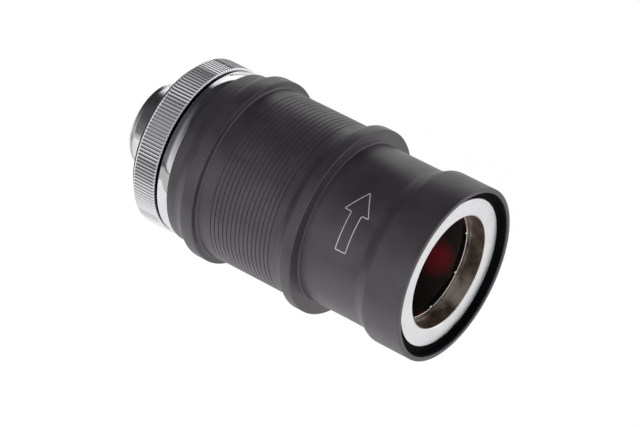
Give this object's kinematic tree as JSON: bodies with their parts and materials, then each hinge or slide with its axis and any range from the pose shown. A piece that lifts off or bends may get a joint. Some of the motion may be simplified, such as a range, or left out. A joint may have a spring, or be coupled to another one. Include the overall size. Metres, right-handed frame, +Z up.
{
  "type": "bottom bracket",
  "caption": "Cartridge bottom bracket: black sleeve with two raised lands, silver-faced open socket at one end, chrome cup, knurled preload ring and spindle stub at the other.",
  "frame": {"origin": "on the spindle's axis, midway between the outer faces of the two lands that sit in the frame's shell", "axes": "+X along the spindle towards the open socket end, +Z up, +Y forwards on the bicycle"},
  "size_m": [0.0792, 0.042, 0.042],
  "materials": {
    "black_anodised": "matte black anodised, finely turned",
    "chrome": "polished chrome plate",
    "silver_face": "fine-turned silver, bright",
    "bearing_steel": "ground bearing steel",
    "spring_steel": "dark spring steel",
    "black_rubber": "matte black seal rubber",
    "dark_red_liner": "dark red-brown satin coating",
    "cage_polymer": "moulded nylon",
    "washer_polymer": "moulded, smooth"
  },
  "bodies": {
    "housing": {"sleeve_housing": "black_anodised", "left_bearing_cup": "chrome", "cup_o_ring": "black_rubber", "left_bearing_circlip": "spring_steel", "right_shaft_seal": "black_rubber", "left_shaft_seal": "black_rubber", "right_outer_race": "bearing_steel", "left_outer_race": "bearing_steel", "right_bearing_shield_inboard": "spring_steel", "right_bearing_shield_outboard": "spring_steel", "left_bearing_shield_inboard": "spring_steel", "left_bearing_shield_outboard": "spring_steel"},
    "spindle": {"hollow_spindle": "chrome", "right_top_hat": "silver_face", "socket_lock_ring": "chrome", "spindle_bore_liner": "dark_red_liner", "spindle_circlip": "spring_steel", "preload_wave_washer": "spring_steel", "right_inner_race": "bearing_steel", "left_inner_race": "bearing_steel"},
    "right_ball_train": {"right_ball_cage": "cage_polymer", "right_bearing_ball_01": "bearing_steel", "right_bearing_ball_02": "bearing_steel", "right_bearing_ball_03": "bearing_steel", "right_bearing_ball_04": "bearing_steel", "right_bearing_ball_05": "bearing_steel", "right_bearing_ball_06": "bearing_steel", "right_bearing_ball_07": "bearing_steel", "right_bearing_ball_08": "bearing_steel", "right_bearing_ball_09": "bearing_steel", "right_bearing_ball_10": "bearing_steel", "right_bearing_ball_11": "bearing_steel", "right_bearing_ball_12": "bearing_steel", "right_bearing_ball_13": "bearing_steel", "right_bearing_ball_14": "bearing_steel", "right_bearing_ball_15": "bearing_steel", "right_bearing_ball_16": "bearing_steel", "right_bearing_ball_17": "bearing_steel", "right_bearing_ball_18": "bearing_steel"},
    "left_ball_train": {"left_ball_cage": "cage_polymer", "left_bearing_ball_01": "bearing_steel", "left_bearing_ball_02": "bearing_steel", "left_bearing_ball_03": "bearing_steel", "left_bearing_ball_04": "bearing_steel", "left_bearing_ball_05": "bearing_steel", "left_bearing_ball_06": "bearing_steel", "left_bearing_ball_07": "bearing_steel", "left_bearing_ball_08": "bearing_steel", "left_bearing_ball_09": "bearing_steel", "left_bearing_ball_10": "bearing_steel"},
    "adjuster_carrier": {"adjuster_thrust_washer": "washer_polymer"},
    "adjuster_ring": {"knurled_adjuster_ring": "chrome"}
  },
  "joints": [
    {"name": "spindle_spin", "type": "hinge", "parent": "housing", "child": "spindle", "pos_m": [0, 0, 0], "axis": [1, 0, 0], "continuous": true},
    {"name": "right_ball_orbit", "type": "hinge", "parent": "housing", "child": "right_ball_train", "pos_m": [0, 0, 0], "axis": [1, 0, 0], "continuous": true},
    {"name": "left_ball_orbit", "type": "hinge", "parent": "housing", "child": "left_ball_train", "pos_m": [0, 0, 0], "axis": [1, 0, 0], "continuous": true},
    {"name": "adjuster_travel", "type": "slide", "parent": "housing", "child": "adjuster_carrier", "axis": [-1, 0, 0], "range_m": [0, 0.0021]},
    {"name": "adjuster_turn", "type": "hinge", "parent": "adjuster_carrier", "child": "adjuster_ring", "pos_m": [0, 0, 0], "axis": [-1, 0, 0], "range_deg": [0, 720]}
  ],
  "couplings": [
    {"joint": "right_ball_orbit", "follows": "spindle_spin", "ratio": 0.47168},
    {"joint": "left_ball_orbit", "follows": "spindle_spin", "ratio": 0.43295},
    {"joint": "adjuster_travel", "follows": "adjuster_turn", "m_per_rad": 0.00015915}
  ]
}
